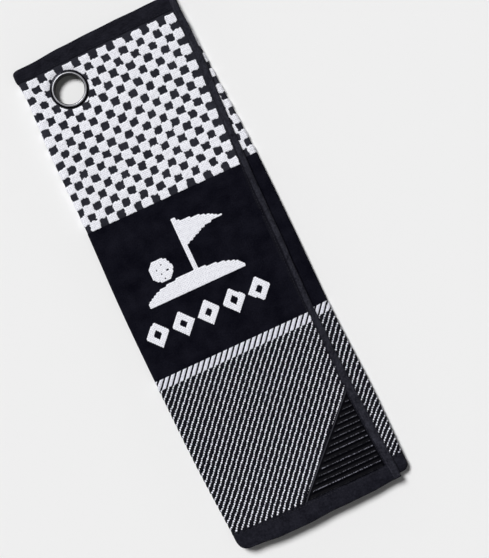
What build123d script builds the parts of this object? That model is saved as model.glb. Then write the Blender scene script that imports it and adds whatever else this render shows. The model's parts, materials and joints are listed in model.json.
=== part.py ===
from build123d import *

import math
import os

# A tri-fold golf towel, lying flat as it is folded for the bag.
#
# One square of terry cloth is folded lengthwise in three, like a letter: the back panel lies on
# the table, the inner panel is turned over it at the right fold, and the front panel is turned
# over both at the left fold. Its right edge is hemmed and free. An eyelet near the top left
# corner is set through all three layers, so the towel hangs folded from a bag's clip. The front
# panel opens like a page, along a crease that starts beside the eyelet and meets the left fold
# at the bottom.
#
# Millimetres. +Z up, +Y towards the eyelet end, +X across to the free edge of the front panel.
# The origin is under the middle of the folded towel, on the table.

# --- the cloth -------------------------------------------------------------------------------
LENGTH = 500.0
CLOTH_THICKNESS = 2.8
LAYER_GAP = 0.2
LAYER_PITCH = CLOTH_THICKNESS + LAYER_GAP
TOP_HEM_WIDTH = 15.5
BOTTOM_HEM_WIDTH = 19.0
SIDE_HEM_WIDTH = 9.0
SIDE_HEM_PROUD = 0.4

# --- the folded outline: each long edge is an arc, given by its x at the top, middle and bottom
LEFT_FOLD_X = (-82.0, -89.85, -86.7)
RIGHT_FOLD_X = (87.0, 90.1, 87.0)
FRONT_EDGE_X = (85.6, 75.5, 76.0)
INNER_EDGE_X = -64.7

# --- the crease that the front flap opens along ------------------------------------------------
CREASE_TOP_X = -14.0
CREASE_BOTTOM_X = -72.0
CREASE_CLEARANCE = 0.1

# --- the eyelet --------------------------------------------------------------------------------
EYELET_X = -40.8
EYELET_FROM_TOP = 39.9
EYELET_BORE_RADIUS = 14.0
EYELET_WALL = 0.6
FLANGE_RADIUS = 17.75
CREST_RADIUS = 15.4
CREST_HEIGHT = 2.0
SEAT_RADIUS = 18.2
TOP_SEAT_DEPTH = 1.0
BOTTOM_SEAT_DEPTH = 1.2
BARREL_CLEARANCE = 0.1
CURL_RADIUS = 16.0
CURL_LIFT = 0.1

# --- the sewing thread -------------------------------------------------------------------------
THREAD_WIDTH = 0.8
THREAD_DEPTH = 0.5
THREAD_INSET = 1.6

# --- worked out from the above -------------------------------------------------------------------
HALF_LENGTH = LENGTH / 2
FIELD_TOP = HALF_LENGTH - TOP_HEM_WIDTH
FIELD_BOTTOM = -HALF_LENGTH + BOTTOM_HEM_WIDTH
BACK_Z = 0.0
INNER_Z = BACK_Z + LAYER_PITCH
FRONT_Z = INNER_Z + LAYER_PITCH
FRONT_TOP_Z = FRONT_Z + CLOTH_THICKNESS
LEFT_FOLD_RADIUS = FRONT_TOP_Z / 2
RIGHT_FOLD_RADIUS = (INNER_Z + CLOTH_THICKNESS) / 2
EYELET_Y = HALF_LENGTH - EYELET_FROM_TOP
BARREL_RADIUS = EYELET_BORE_RADIUS + EYELET_WALL
TOP_SEAT_Z = FRONT_TOP_Z - TOP_SEAT_DEPTH
OVERRUN = 5.0


class PlanLine:
    """A long edge seen from above: x as a function of y, straight or an arc through three points."""

    def __init__(self, top, middle, bottom):
        self.top, self.middle, self.bottom = top, middle, bottom
        bow = middle - (top + bottom) / 2
        self.straight = abs(bow) < 1e-6
        if not self.straight:
            start, halfway, end = (top, HALF_LENGTH), (middle, 0), (bottom, -HALF_LENGTH)
            circle = ThreePointArc(start, halfway, end)
            self.centre, self.radius = circle.arc_center, circle.radius
            self.side = 1 if bow > 0 else -1

    def x(self, y):
        if self.straight:
            share = (y + HALF_LENGTH) / LENGTH
            return self.bottom + share * (self.top - self.bottom)
        reach = math.sqrt(self.radius**2 - (y - self.centre.Y) ** 2)
        return self.centre.X + self.side * reach

    def edge(self, y_start, y_end):
        start, end = (self.x(y_start), y_start), (self.x(y_end), y_end)
        if self.straight:
            return Line(start, end)
        y_middle = (y_start + y_end) / 2
        return ThreePointArc(start, (self.x(y_middle), y_middle), end)

    def shifted(self, dx):
        return PlanLine(self.top + dx, self.middle + dx, self.bottom + dx)


LEFT_FOLD = PlanLine(*LEFT_FOLD_X)
RIGHT_FOLD = PlanLine(*RIGHT_FOLD_X)
LEFT_BEND = LEFT_FOLD.shifted(LEFT_FOLD_RADIUS)
RIGHT_BEND = RIGHT_FOLD.shifted(-RIGHT_FOLD_RADIUS)
FRONT_EDGE = PlanLine(*FRONT_EDGE_X)
FRONT_HEM_LINE = FRONT_EDGE.shifted(-SIDE_HEM_WIDTH)
INNER_EDGE = PlanLine(INNER_EDGE_X, INNER_EDGE_X, INNER_EDGE_X)
INNER_HEM_LINE = INNER_EDGE.shifted(SIDE_HEM_WIDTH)
CREASE = PlanLine(CREASE_TOP_X, (CREASE_TOP_X + CREASE_BOTTOM_X) / 2, CREASE_BOTTOM_X)
CREASE_HELD_SIDE = CREASE.shifted(-CREASE_CLEARANCE)
CREASE_FLAP_SIDE = CREASE.shifted(CREASE_CLEARANCE)


def flat_piece(left, right, y_low, y_high, z_low, thickness):
    """A flat length of cloth between two plan lines."""
    bottom = Line((left.x(y_low), y_low), (right.x(y_low), y_low))
    top = Line((right.x(y_high), y_high), (left.x(y_high), y_high))
    outline = bottom + right.edge(y_low, y_high) + top + left.edge(y_high, y_low)
    return Pos(0, 0, z_low) * extrude(make_face(outline), thickness)


def slab(y_low, y_high):
    """Everything between two y, for cutting a fold to length."""
    reach = 2 * LENGTH
    return Pos(0, (y_low + y_high) / 2, 0) * Box(reach, y_high - y_low, reach)


def fold_piece(bend, outer_radius, side, y_low, y_high):
    """The half tube of cloth that turns round a bend line. side is -1 for a fold on the left."""
    path = Pos(0, 0, outer_radius) * bend.edge(y_low - OVERRUN, y_high + OVERRUN)
    across = Plane(origin=path @ 0, x_dir=(side, 0, 0), z_dir=path % 0)
    ring = Circle(outer_radius) - Circle(outer_radius - CLOTH_THICKNESS)
    turned_side = Pos(outer_radius, 0) * Rectangle(2 * outer_radius, 3 * outer_radius)
    tube = sweep(across * (ring & turned_side), path=path)
    return tube & slab(y_low, y_high)


def back_cloth(y_low, y_high):
    return flat_piece(LEFT_BEND, RIGHT_BEND, y_low, y_high, BACK_Z, CLOTH_THICKNESS)


def inner_cloth(left, y_low, y_high):
    return flat_piece(left, RIGHT_BEND, y_low, y_high, INNER_Z, CLOTH_THICKNESS)


def held_cloth(y_low, y_high):
    return flat_piece(LEFT_BEND, CREASE_HELD_SIDE, y_low, y_high, FRONT_Z, CLOTH_THICKNESS)


def flap_cloth(y_low, y_high):
    return flat_piece(CREASE_FLAP_SIDE, FRONT_HEM_LINE, y_low, y_high, FRONT_Z, CLOTH_THICKNESS)


def left_fold_cloth(y_low, y_high):
    return fold_piece(LEFT_BEND, LEFT_FOLD_RADIUS, -1, y_low, y_high)


def right_fold_cloth(y_low, y_high):
    return fold_piece(RIGHT_BEND, RIGHT_FOLD_RADIUS, 1, y_low, y_high)


def eyelet_hole(z_low, z_high, radius):
    """A round cutter on the eyelet's axis."""
    height = z_high - z_low
    return Pos(EYELET_X, EYELET_Y, z_low + height / 2) * Cylinder(radius, height)


def pierced(cloth):
    """Cloth with the hole that the eyelet's barrel goes through, and its pressed-in seats."""
    hole = eyelet_hole(-1, FRONT_TOP_Z + 1, BARREL_RADIUS + BARREL_CLEARANCE)
    lower_seat = eyelet_hole(-1, BOTTOM_SEAT_DEPTH, SEAT_RADIUS)
    upper_seat = eyelet_hole(TOP_SEAT_Z, FRONT_TOP_Z + 1, SEAT_RADIUS)
    return cloth - hole - lower_seat - upper_seat


def end_hem(y_low, y_high):
    """The hem across one end, through every layer that stays folded: one turned band."""
    layers = back_cloth(y_low, y_high)
    layers += left_fold_cloth(y_low, y_high)
    layers += right_fold_cloth(y_low, y_high)
    layers += inner_cloth(INNER_HEM_LINE, y_low, y_high)
    return layers + held_cloth(y_low, y_high)


def side_hem(inner_line, outer_line, z_low, proud):
    """The turned band down one free edge."""
    thickness = CLOTH_THICKNESS + proud
    return flat_piece(inner_line, outer_line, -HALF_LENGTH, HALF_LENGTH, z_low, thickness)


def thread_across(left, right, y, z_top):
    """A row of stitches across a panel, laid in the cloth's face."""
    half = THREAD_WIDTH / 2
    return flat_piece(left, right, y - half, y + half, z_top - THREAD_DEPTH, THREAD_DEPTH)


def thread_along(line, z_top):
    """A row of stitches down a side hem, laid in the cloth's face."""
    left, right = line.shifted(-THREAD_WIDTH / 2), line.shifted(THREAD_WIDTH / 2)
    end_margin = 2.0
    y_end = HALF_LENGTH - end_margin
    return flat_piece(left, right, -y_end, y_end, z_top - THREAD_DEPTH, THREAD_DEPTH)


def eyelet():
    """The front half of the eyelet: a domed flange, a barrel, and an end curled over the washer."""
    crest_z = TOP_SEAT_Z + CREST_HEIGHT
    shoulder_z = TOP_SEAT_Z + CREST_HEIGHT / 3
    curl_top_z = BOTTOM_SEAT_DEPTH - CURL_LIFT
    flange_inside = FLANGE_RADIUS - EYELET_WALL
    curl_middle = (BARREL_RADIUS + CURL_RADIUS) / 2
    skirt_out = Line((flange_inside, TOP_SEAT_Z), (FLANGE_RADIUS, TOP_SEAT_Z))
    skirt_up = Line(skirt_out @ 1, (FLANGE_RADIUS, shoulder_z))
    dome = TangentArc(skirt_up @ 1, (CREST_RADIUS, crest_z), tangent=(0, 1))
    lip = TangentArc(
        (EYELET_BORE_RADIUS, shoulder_z), (CREST_RADIUS, crest_z), tangent=(0, 1)
    )
    bore = Line((EYELET_BORE_RADIUS, shoulder_z), (EYELET_BORE_RADIUS, curl_top_z))
    curl = TangentArc(bore @ 1, (curl_middle, CURL_LIFT), tangent=(0, -1))
    curl_foot = Line(curl @ 1, (CURL_RADIUS, CURL_LIFT))
    curl_end = Line(curl_foot @ 1, (CURL_RADIUS, CURL_LIFT + EYELET_WALL))
    curl_back = Line(curl_end @ 1, (curl_middle, CURL_LIFT + EYELET_WALL))
    curl_inside = Line(curl_back @ 1, (BARREL_RADIUS, curl_top_z))
    barrel = Line(curl_inside @ 1, (BARREL_RADIUS, shoulder_z))
    under_crest_z = crest_z - EYELET_WALL
    under_lip = Line(barrel @ 1, (CREST_RADIUS, under_crest_z))
    under_dome = ThreePointArc(
        under_lip @ 1,
        (flange_inside - 0.45, shoulder_z + 0.5),
        (flange_inside, TOP_SEAT_Z),
    )
    outline = skirt_out + skirt_up + dome + lip + bore + curl + curl_foot + curl_end
    outline += curl_back + curl_inside + barrel + under_lip + under_dome
    section = Plane.XZ * make_face(outline)
    return Pos(EYELET_X, EYELET_Y, 0) * revolve(section, Axis.Z)


def washer():
    """The back half of the eyelet: a flat ring between the cloth and the curled end."""
    inner = (BARREL_RADIUS + CURL_RADIUS) / 2 + BARREL_CLEARANCE
    z_low = CURL_LIFT + EYELET_WALL
    height = BOTTOM_SEAT_DEPTH - z_low
    ring = Cylinder(FLANGE_RADIUS, height) - Cylinder(inner, height)
    return Pos(EYELET_X, EYELET_Y, z_low + height / 2) * ring


def towel():
    """Every named piece of the towel."""
    pieces = {
        "back_panel": pierced(back_cloth(FIELD_BOTTOM, FIELD_TOP)),
        "left_fold": left_fold_cloth(FIELD_BOTTOM, FIELD_TOP),
        "right_fold": right_fold_cloth(FIELD_BOTTOM, FIELD_TOP),
        "inner_panel": pierced(inner_cloth(INNER_HEM_LINE, FIELD_BOTTOM, FIELD_TOP)),
        "front_panel_held": pierced(held_cloth(FIELD_BOTTOM, FIELD_TOP)),
        "front_flap": flap_cloth(FIELD_BOTTOM, FIELD_TOP),
        "top_hem": end_hem(FIELD_TOP, HALF_LENGTH),
        "bottom_hem": end_hem(-HALF_LENGTH, FIELD_BOTTOM),
        "top_hem_flap": flap_cloth(FIELD_TOP, HALF_LENGTH),
        "bottom_hem_flap": flap_cloth(-HALF_LENGTH, FIELD_BOTTOM),
        "front_side_hem": side_hem(FRONT_HEM_LINE, FRONT_EDGE, FRONT_Z, SIDE_HEM_PROUD),
        "inner_side_hem": side_hem(INNER_HEM_LINE, INNER_EDGE, INNER_Z, 0),
    }

    top_row_y = FIELD_TOP + THREAD_INSET
    bottom_row_y = FIELD_BOTTOM - THREAD_INSET
    rows = {
        "top_hem_thread": ("top_hem", LEFT_BEND, CREASE_HELD_SIDE, top_row_y),
        "bottom_hem_thread": ("bottom_hem", LEFT_BEND, CREASE_HELD_SIDE, bottom_row_y),
        "top_flap_thread": ("top_hem_flap", CREASE_FLAP_SIDE, FRONT_HEM_LINE, top_row_y),
        "bottom_flap_thread": ("bottom_hem_flap", CREASE_FLAP_SIDE, FRONT_HEM_LINE, bottom_row_y),
    }
    for name, (hem, left, right, y) in rows.items():
        thread = thread_across(left, right, y, FRONT_TOP_Z)
        pieces[hem] -= thread
        pieces[name] = thread

    front_row = thread_along(
        FRONT_HEM_LINE.shifted(THREAD_INSET), FRONT_TOP_Z + SIDE_HEM_PROUD
    )
    inner_row = thread_along(
        INNER_HEM_LINE.shifted(-THREAD_INSET), INNER_Z + CLOTH_THICKNESS
    )
    pieces["front_side_hem"] -= front_row
    pieces["inner_side_hem"] -= inner_row
    pieces["front_side_thread"] = front_row
    pieces["inner_side_thread"] = inner_row

    pieces["eyelet"] = eyelet()
    pieces["eyelet_washer"] = washer()
    return pieces


os.makedirs("parts", exist_ok=True)
for name, piece in towel().items():
    export_step(piece, f"parts/{name}.step")
    print(name, len(piece.solids()), "solid", round(piece.volume), "mm3")
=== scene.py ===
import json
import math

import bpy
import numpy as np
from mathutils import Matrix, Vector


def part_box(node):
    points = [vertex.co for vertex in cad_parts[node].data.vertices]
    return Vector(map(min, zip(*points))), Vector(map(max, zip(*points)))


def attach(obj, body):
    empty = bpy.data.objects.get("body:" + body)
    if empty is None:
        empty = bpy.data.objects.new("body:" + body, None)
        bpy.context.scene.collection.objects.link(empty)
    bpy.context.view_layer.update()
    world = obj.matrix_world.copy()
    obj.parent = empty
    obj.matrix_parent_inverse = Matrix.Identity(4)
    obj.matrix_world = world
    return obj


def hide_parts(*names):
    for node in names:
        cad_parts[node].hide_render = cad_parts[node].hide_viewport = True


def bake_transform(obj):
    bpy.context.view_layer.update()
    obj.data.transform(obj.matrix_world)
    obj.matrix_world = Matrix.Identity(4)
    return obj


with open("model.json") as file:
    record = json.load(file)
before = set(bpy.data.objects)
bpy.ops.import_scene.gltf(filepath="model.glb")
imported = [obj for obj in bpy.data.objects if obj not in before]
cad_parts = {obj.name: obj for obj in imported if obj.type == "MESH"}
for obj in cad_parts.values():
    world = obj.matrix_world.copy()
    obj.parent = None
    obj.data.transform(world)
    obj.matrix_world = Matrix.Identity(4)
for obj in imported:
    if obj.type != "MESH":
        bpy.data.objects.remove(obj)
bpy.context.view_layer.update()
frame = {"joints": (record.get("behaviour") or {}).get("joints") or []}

# %% [markdown]
# # A golf towel, folded in three
# The towel is one square of jacquard terry cloth, folded lengthwise like a letter and held by an
# eyelet near its top left corner. The imported model above gives the frame: everything made below
# goes in the box of a imported node and stands for it, and most of it rides on that node's body.
#
# The cloth is worked out flat first and folded afterwards. Every point has a flat place, u from
# the free edge of the front panel and v down from the top edge, and one function folds that
# place. A pattern drawn on the flat cloth then runs round the folds, as it does in a weave.

MM = 0.001
chance = np.random.default_rng(27)
BODY, FLAP = "folded_body", "flap_body"


def in_mm(box):
    return [np.array(corner) / MM for corner in box]


eyelet_low, eyelet_high = in_mm(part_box("eyelet"))
EYELET_AT = (eyelet_low + eyelet_high) / 2
print("eyelet at", EYELET_AT.round(1))

# %% [markdown]
# ## The outline
# A towel that has been folded by hand has no straight sides: each long edge wanders by a few
# millimetres. A handful of stations down each edge, joined by a smooth curve, is how a pattern
# cutter would note it. The hem is stiffer than the pile and stands out at the top left corner.

# %% The long edges, from a few stations each
LENGTH = 500.0
HALF = LENGTH / 2


def smooth(x, low, high):
    """0 before low, 1 after high, and a soft S between them."""
    t = np.clip((x - low) / (high - low), 0, 1)
    return t * t * (3 - 2 * t)


def through(*stations):
    """A smooth curve through a few stations: a place along, and the value there."""
    at, value = np.array(stations, float).T
    slope = np.gradient(value, at)

    def curve(along):
        k = np.clip(np.searchsorted(at, along) - 1, 0, len(at) - 2)
        span = at[k + 1] - at[k]
        t = np.clip((along - at[k]) / span, 0, 1)
        rise_all, start, end = value[k + 1] - value[k], slope[k] * span, slope[k + 1] * span
        bend = 3 * rise_all - 2 * start - end
        return value[k] + t * start + t**2 * bend + t**3 * (start + end - 2 * rise_all)

    return curve


front_edge = through((-250, 77.3), (-190, 75.8), (-125, 73.8), (-75, 73.6), (0, 76.3),
                     (50, 77.4), (100, 80.0), (150, 83.0), (200, 85.8), (250, 85.2))
left_side = through((-250, -88.0), (-170, -91.0), (-85, -91.0), (0, -89.7), (85, -86.0),
                    (170, -84.3), (226, -81.8), (240, -83.2), (250, -82.7))
right_side = through((-250, 87.6), (-170, 90.2), (-85, 88.6), (0, 90.0), (75, 90.5),
                     (150, 88.6), (190, 87.2), (226, 86.3), (250, 85.7))
print("width at the middle:", round(float(front_edge(0) - left_side(0)), 1), "mm")

# %% [markdown]
# ## The fold
# Seen from the end, the cloth's middle line is a flat run, a half circle, a flat run, a smaller
# half circle and a last flat run. `fold_section` walks along it: for a distance along the cloth
# it gives the point and the direction in which the face side looks. Lifting a point in that
# direction makes thickness and pile.

# %% Folding a flat place
BACK_Z, INNER_Z, FRONT_Z = 1.4, 4.4, 7.4
LEFT_RADIUS, RIGHT_RADIUS = (FRONT_Z - BACK_Z) / 2, (INNER_Z - BACK_Z) / 2
PILE_STANDS = 1.5
TABLE_Z = 0.02


def fold_section(along, y):
    """Where the cloth's middle is, and the way its face looks, at a distance from its free edge."""
    left = left_side(y) + LEFT_RADIUS + PILE_STANDS
    right = right_side(y) - RIGHT_RADIUS - PILE_STANDS
    end_front = front_edge(y) - left
    end_left = end_front + math.pi * LEFT_RADIUS
    end_back = end_left + right - left
    end_right = end_back + math.pi * RIGHT_RADIUS
    turn_l = np.clip((along - end_front) / LEFT_RADIUS, 0, math.pi)
    turn_r = np.clip((along - end_back) / RIGHT_RADIUS, 0, math.pi)
    x = front_edge(y) - np.minimum(along, end_front)
    x = x - LEFT_RADIUS * np.sin(turn_l)
    x = x + np.clip(along - end_left, 0, end_back - end_left)
    x = x + RIGHT_RADIUS * np.sin(turn_r)
    x = x - np.maximum(along - end_right, 0)
    z = FRONT_Z - LEFT_RADIUS * (1 - np.cos(turn_l)) + RIGHT_RADIUS * (1 - np.cos(turn_r))
    return x, z, np.sin(turn_r) - np.sin(turn_l), np.cos(turn_l - turn_r)


# %% [markdown]
# ## Small shifts of a hand-folded cloth
# The rows of the pattern are not quite level. On the front panel they climb towards the left
# fold, and on the inner panel they lie at another height again, because the folds were not made
# square. The ends curve as well, the corners of the two folds pull in, and the bottom end stands
# off the table. Each of these is a small smooth shift added to the folded place.

# %% Shifts, corners and drape
LEFT_FOLD_U, RIGHT_FOLD_U = 165.0, 345.0
BACK_GATHER, GATHER_FROM_U, GATHER_TO_U = 6.65, 185.0, 315.0
climb_left = through((0, 0), (12, 0.8), (19, 2.3), (90, 3.4), (173, 4.8), (325, 4.5),
                     (484, 5.2), (501, 5.2))
climb_inner = through((0, 2.5), (173, 4.0), (325, 2.0), (484, 4.6), (501, 4.6))
END_LIFT, LIFT_FROM, LIFT_TO = 4.6, 170.0, 255.0
CORNER_REACH = 30.0
LEFT_BOTTOM_CORNER, LEFT_TOP_CORNER, RIGHT_BOTTOM_CORNER, RIGHT_TOP_CORNER = 9.5, 3.0, 6.0, 4.0


def row_shift(u, v, x):
    """How far a row's place is from level: rows first, and then the two ends."""
    level = np.interp(u, [0, LEFT_FOLD_U], [0, 1]) * climb_left(v)
    inner = np.interp(u, [LEFT_FOLD_U, RIGHT_FOLD_U], [0, 1])
    rows = level * (1 - inner) + climb_inner(v) * inner
    rows = rows + 1.8 * smooth(u, 130, 168) * (1 - inner) * smooth(v, 430, 485)
    behind = smooth(u, LEFT_FOLD_U, LEFT_FOLD_U + 25)
    bottom = -1.5 + 0.5 * np.sin(x / 11 + 0.8) + 4.2 * smooth(-x, 48, 88)
    bottom = bottom + behind * (0.5 + 2.4 * smooth(x, 0, 80))
    top = -0.4 - 1.9 * smooth(-x, 30, 72) - 0.5 * behind
    rows = rows + (bottom - rows) * smooth(v, 480, 500)
    return rows + (top - rows) * (1 - smooth(v, 1, 20))


def corner_pull(distance, radius):
    """How far a rounded corner pulls an edge in, at a distance from the cloth's end."""
    past = np.clip(radius - distance, 0, radius)
    return radius - np.sqrt(radius**2 - past**2)


def corners(u, v, x, y):
    """Moves the folds in at their corners, most at the fold and not at all CORNER_REACH inside."""
    by_left = 1 - smooth(x - left_side(y), 0, CORNER_REACH)
    by_right = smooth(x - right_side(y), -CORNER_REACH, 0) * (u > LEFT_FOLD_U)
    left = 0.85 * corner_pull(LENGTH - v, LEFT_BOTTOM_CORNER) + corner_pull(v, LEFT_TOP_CORNER)
    right = corner_pull(LENGTH - v, RIGHT_BOTTOM_CORNER) + corner_pull(v, RIGHT_TOP_CORNER)
    return x + left * by_left - right * by_right


def loft(x, y, z):
    """Soft folded cloth swells a little between its edges, and its bottom end stands off."""
    swell = 0.35 * (1 + np.sin(x / 41 + y / 67 + 0.6)) + 0.3 * (1 + np.sin(y / 43 - x / 70 + 2))
    swell = swell * smooth(np.hypot(x - EYELET_AT[0], y - EYELET_AT[1]), 17, 55)
    end_lift = END_LIFT * (1 - 0.35 * smooth(x, 10, 80))
    return swell * np.clip(z / FRONT_Z, 0, 1.3) + end_lift * smooth(-y, LIFT_FROM, LIFT_TO)


def along_cloth(u):
    """The distance from the free edge to u. The back is gathered, so the weave is closer there."""
    return u - BACK_GATHER * smooth(u, GATHER_FROM_U, GATHER_TO_U)


def placed(u, v, lift):
    """The folded places, in metres, of points of the flat cloth lifted off its middle, in mm."""
    u, v, lift = np.broadcast_arrays(u, v, lift)
    y = np.clip(HALF - v, -HALF, HALF)
    x, z, face_x, face_z = fold_section(along_cloth(u), y)
    x, z = x + face_x * lift, z + face_z * lift
    x = corners(u, v, x, y)
    z = z + loft(x, y, z)
    return np.stack([x, HALF - v + row_shift(u, v, x), np.maximum(z, TABLE_Z)], -1) * MM


print("a point on the left fold:", placed(168, 200, 1.0).round(4))

# %% [markdown]
# ## Meshes from grids
# A piece of cloth here is a closed thick sheet: a grid of points for its face, a grid for its
# reverse, and a rim between them. Where the eyelet goes through, some cells are left out and the
# rim follows. Each point keeps its flat place as an attribute, so a material can draw the weave
# in millimetres of cloth, and it stays on the cloth when the flap opens.

# %% Building a mesh object
def put_in_scene(name, data):
    made = bpy.data.objects.new(name, data)
    bpy.context.scene.collection.objects.link(made)
    return made


def mesh_object(name, points, faces, flat=None, rim_from=None, **fields):
    """A mesh piece. flat is each point's flat place, and fields are other values a point carries."""
    mesh = bpy.data.meshes.new(name)
    faces = np.asarray(faces, np.int32)
    mesh.vertices.add(len(points))
    mesh.vertices.foreach_set("co", np.asarray(points, np.float32).ravel())
    mesh.loops.add(faces.size)
    mesh.loops.foreach_set("vertex_index", faces.ravel())
    mesh.polygons.add(len(faces))
    mesh.polygons.foreach_set("loop_start", np.arange(len(faces), dtype=np.int32) * faces.shape[1])
    is_smooth = np.ones(len(faces), bool)
    if rim_from is not None:
        is_smooth[rim_from:] = False
    mesh.update(calc_edges=True)
    mesh.polygons.foreach_set("use_smooth", is_smooth)
    if flat is not None:
        place = mesh.attributes.new("cloth_mm", "FLOAT_VECTOR", "POINT")
        place.data.foreach_set("vector", np.asarray(flat, np.float32).ravel())
    for field, values in fields.items():
        holder = mesh.attributes.new(field, "FLOAT", "POINT")
        holder.data.foreach_set("value", np.asarray(values, np.float32).ravel())
    mesh.validate()
    return put_in_scene(name, mesh)


def thick_sheet(name, columns, rows, relief):
    """A closed sheet of cloth over a grid of flat places, with relief(u, v) on its two sides."""
    u, v = np.meshgrid(columns, rows)
    face_lift, back_lift, pattern, tuft = relief(u, v)
    face, back = placed(u, v, face_lift), placed(u, v, back_lift)
    index = np.arange(u.size).reshape(u.shape)
    cells = np.stack([index[:-1, :-1], index[:-1, 1:], index[1:, 1:], index[1:, :-1]], -1)
    middle = face.reshape(-1, 3)[cells].mean(2)[..., :2]
    in_hole = np.hypot(*np.moveaxis(middle - EYELET_AT[:2] * MM, -1, 0)) < HOLE_RADIUS * MM
    cells = cells[~in_hole]
    starts, ends = cells.ravel(), np.roll(cells, -1, 1).ravel()
    is_rim = ~np.isin(starts * u.size + ends, ends * u.size + starts)
    starts, ends = starts[is_rim], ends[is_rim]
    rim = np.stack([ends, starts, starts + u.size, ends + u.size], -1)
    faces = np.concatenate([cells, cells[:, ::-1] + u.size, rim])
    used, faces = np.unique(faces, return_inverse=True)
    points = np.concatenate([face.reshape(-1, 3), back.reshape(-1, 3)])[used]
    side = np.repeat([0.0, 1.0], u.size)
    flat = np.stack([np.tile(u.ravel(), 2), np.tile(v.ravel(), 2), side], -1)[used]
    pattern = np.concatenate([pattern.ravel(), -pattern.ravel()])[used]
    tuft = np.tile(tuft.ravel(), 2)[used]
    faces = faces.reshape(-1, 4)
    return mesh_object(name, points, faces, flat, 2 * len(cells), pattern=pattern, tuft=tuft)


HOLE_RADIUS = 16.0
print("the hole for the eyelet is", 2 * HOLE_RADIUS, "mm across")

# %% [markdown]
# ## The weave, loop by loop
# Terry is a ground cloth with rows of pile loops. Two colours of pile swap sides to draw the
# pattern. The white loops stand tall and lean over their neighbours, so each black square is a
# ragged island a little smaller than its place, and the white squares join at their corners.
# The pattern is kept as a distance in millimetres, above 0 in white, with a different push for
# every loop. A distance gives a clean edge at any size, where a yes or no would give blocks.

# %% The size of a loop and the bands down the cloth
CHECK_U, CHECK_V = 8.87, 8.16
LOOPS_ACROSS, LOOPS_DOWN = 6, 5
LOOP_U, LOOP_V = CHECK_U / LOOPS_ACROSS, CHECK_V / LOOPS_DOWN
FIRST_U, FIRST_V = 7.87, 18.6
LAST_ROW = 18
CHECKS_END = FIRST_V + (LAST_ROW + 1) * CHECK_V
VELOUR_END = 325.3
BARS_END = 334.6
STRIPES_END = 484.6
ROUNDED = 1.6
loop_dice = chance.random((3, 340, 360))


def loop_index(u, v):
    i = np.floor((u - FIRST_U) / LOOP_U + 1e-6).astype(int)
    j = np.floor((v - FIRST_V) / LOOP_V + 1e-6).astype(int)
    return i, j


def dice(kind, i, j):
    """A fixed random number from 0 to 1 for a loop or a square."""
    return loop_dice[kind, j % loop_dice.shape[1], i % loop_dice.shape[2]]


def square_distance(across, down, column, row):
    """Distance out of the black square in a place of the chequer, in mm, below 0 inside."""
    across = np.where(column == 0, np.maximum(across, 0), across)
    down = np.where(row == 0, np.maximum(down, 0), down)
    down = np.where(row == LAST_ROW, np.minimum(down, 0), down)
    half_u = 3.95 + 0.5 * (dice(0, column, row) - 0.5)
    half_v = 3.6 + 0.4 * (dice(1, column, row) - 0.5)
    away_u = np.abs(across - 0.5 * (dice(2, column, row) - 0.5)) - half_u + 0.5
    away_v = np.abs(down - 0.4 * (dice(0, row, column) - 0.5)) - half_v + 0.5
    outside = np.hypot(np.maximum(away_u, 0), np.maximum(away_v, 0))
    return outside + np.minimum(np.maximum(away_u, away_v), 0) - 0.5


def check_distance(u, v):
    """Distance into the white of the chequered end, in mm, below 0 in black."""
    column = np.floor((u - FIRST_U) / CHECK_U).astype(int)
    row = np.floor((v - FIRST_V) / CHECK_V).astype(int)
    across = u - FIRST_U - (column + 0.5) * CHECK_U
    down = v - FIRST_V - (row + 0.5) * CHECK_V
    beside, below = np.where(across < 0, -1, 1), np.where(down < 0, -1, 1)
    own = square_distance(across, down, column, row)
    side = square_distance(across - beside * CHECK_U, down, column + beside, row)
    end = square_distance(across, down - below * CHECK_V, column, row + below)
    white = np.where((column + row) % 2 == 0, np.minimum(side, end), own)
    edges = np.minimum(u - FIRST_U + 0.4, np.minimum(v - FIRST_V, CHECKS_END - v) + 0.5)
    nearest = np.minimum(white, edges)
    round_off = np.hypot(np.minimum(white - ROUNDED, 0), np.minimum(edges - ROUNDED, 0))
    return np.where(nearest < ROUNDED, ROUNDED - round_off, nearest)


print("one loop is", round(LOOP_U, 2), "by", round(LOOP_V, 2), "mm")

# %% [markdown]
# ## The motif
# A golf towel carries a motif in its plain middle. This one is a flag on a green with a ball
# beside it, over a row of diamonds. Each shape is an inequality in millimetres, tested at the
# middle of a loop, which gives the stepped outlines of a woven picture.

# %% The flag, the green, the ball and the diamonds
MOTIF_U, MOTIF_V, DIAMONDS_V = 91.0, 228.0, 286.5
dimples = [(-29, 3), (-22, 1), (-26, 8), (-19, 7), (-24, 13)]


def motif_loop(i, j):
    """1 for a white loop of the motif, 0 for the black velour."""
    right = MOTIF_U - (FIRST_U + (i + 0.5) * LOOP_U)
    down = FIRST_V + (j + 0.5) * LOOP_V - MOTIF_V
    pole = (abs(right - 5.5) < 2.3) & (down > -34) & (down < 24)
    wave = 1.3 * np.sin(right / 6.5)
    pennant = (right > 5) & (abs(down + 20.5 - wave) < 13.2 * (1 - (right - 5) / 44))
    green = (down < 33) & ((right / 49) ** 2 + ((down - 33) / 15.5) ** 2 < 1)
    ball = (right + 24.5) ** 2 + (down - 5.0) ** 2 < 11.2**2
    for at_right, at_down in dimples:
        ball = ball & ~((right - at_right) ** 2 + (down - at_down) ** 2 < 0.9**2)
    low = down + MOTIF_V - DIAMONDS_V
    along = (right + 13) % 26 - 13
    diamond = (abs(along) / 11.6 + abs(low) / 12.6 < 1) & (abs(right) < 64)
    heart = abs(along) / 4.2 + abs(low) / 4.6 < 1
    return (pole | pennant | green | ball | (diamond & ~heart)).astype(float)


every_loop = np.meshgrid(np.arange(115), np.arange(95, 188))
print("white loops in the motif:", int(motif_loop(*every_loop).sum()))
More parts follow.
